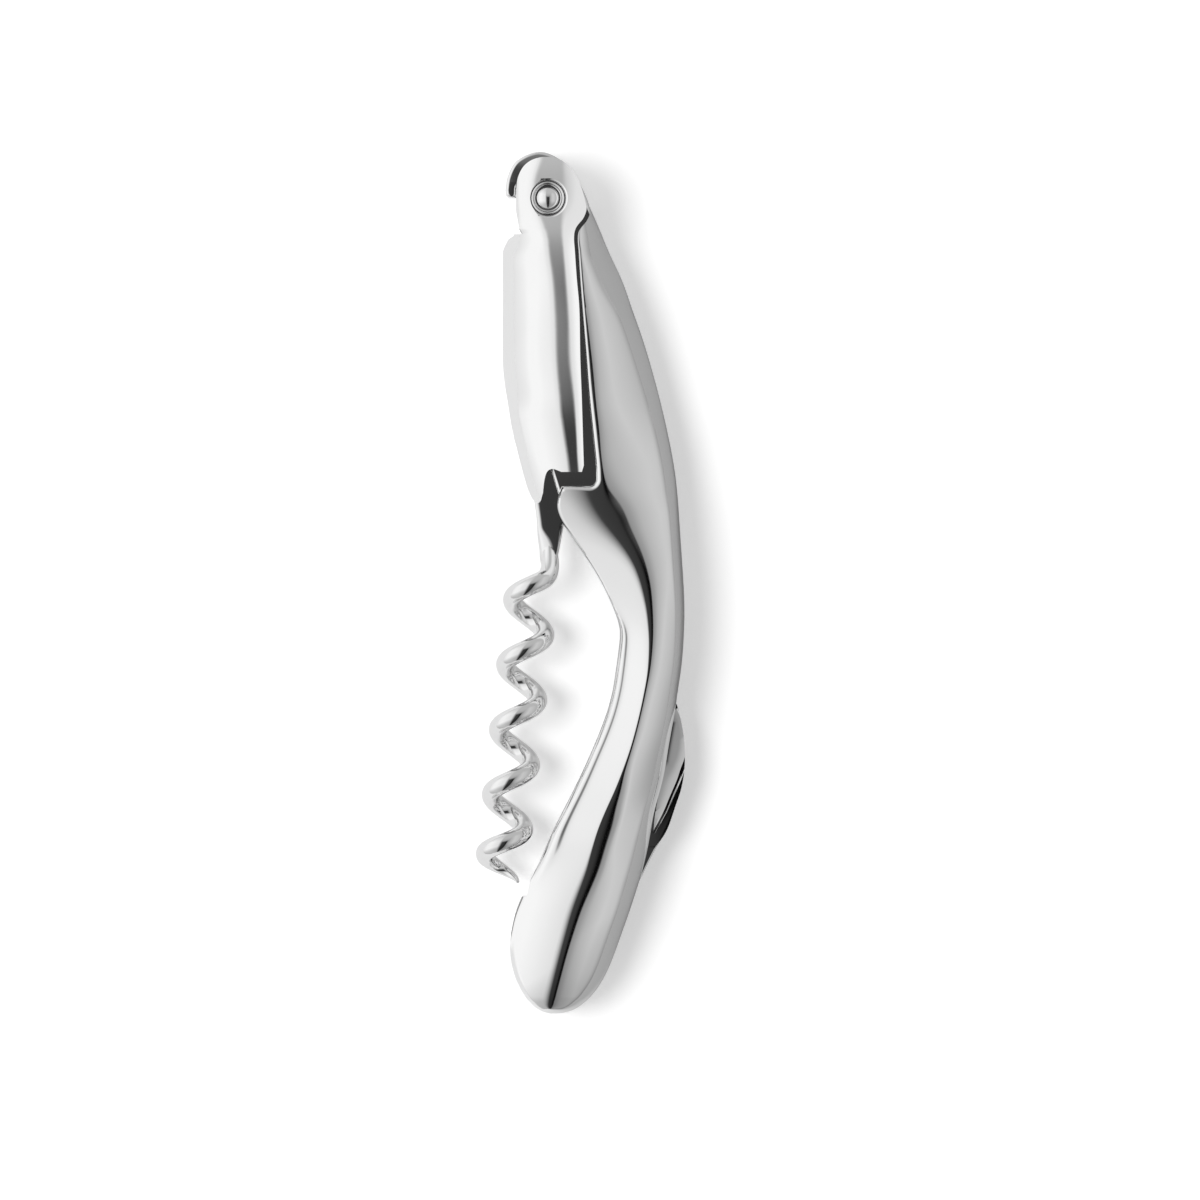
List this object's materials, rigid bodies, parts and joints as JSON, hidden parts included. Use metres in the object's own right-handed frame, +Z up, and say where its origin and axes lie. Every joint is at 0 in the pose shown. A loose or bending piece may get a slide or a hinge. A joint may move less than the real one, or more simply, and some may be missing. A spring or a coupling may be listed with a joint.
{
  "type": "waiter's corkscrew",
  "caption": "Curved polished steel corkscrew lying flat, with a boot lever that folds out, a swing-out spiral worm, a hooked cap lifter and a foil blade in its back.",
  "frame": {"origin": "centre of the bounding box's footprint, on the surface that the corkscrew lies on", "axes": "+X from the worm's side towards the back of the handle, +Y from the rounded end up to the cap lifter's hook, +Z up through the handle's thickness"},
  "size_m": [0.0324, 0.134, 0.0154],
  "materials": {
    "polished_body": "mirror polish",
    "polished_lever": "mirror polish",
    "rivet_steel": "mirror polish",
    "washer_steel": "ground",
    "worm_steel": "polished wire",
    "pin_steel": "turned",
    "blade_steel": "fine ground and polished",
    "spring_steel": "spring tempered"
  },
  "bodies": {
    "frame": {"handle": "polished_body", "lever_rivet": "rivet_steel", "lever_rosette_near": "rivet_steel", "lever_rosette_far": "rivet_steel", "lever_thrust_washer_near": "washer_steel", "lever_thrust_washer_far": "washer_steel", "worm_pin": "pin_steel", "blade_pin": "pin_steel", "blade_washer_near": "washer_steel", "blade_washer_far": "washer_steel", "blade_backspring": "spring_steel", "backspring_pin": "pin_steel"},
    "lever": {"boot_lever": "polished_lever"},
    "screw": {"worm": "worm_steel"},
    "blade": {"foil_blade": "blade_steel"}
  },
  "joints": [
    {"name": "lever_hinge", "type": "hinge", "parent": "frame", "child": "lever", "pos_m": [-0.00506, 0.0597, 0.0077], "axis": [0, 0, -1], "range_deg": [0, 165]},
    {"name": "worm_hinge", "type": "hinge", "parent": "frame", "child": "screw", "pos_m": [-0.00287, 0.02037, 0.0077], "axis": [0, 0, -1], "range_deg": [-10, 95]},
    {"name": "blade_hinge", "type": "hinge", "parent": "frame", "child": "blade", "pos_m": [-0.00007, -0.05936, 0.0077], "axis": [0, 0, -1], "range_deg": [0, 150]}
  ]
}
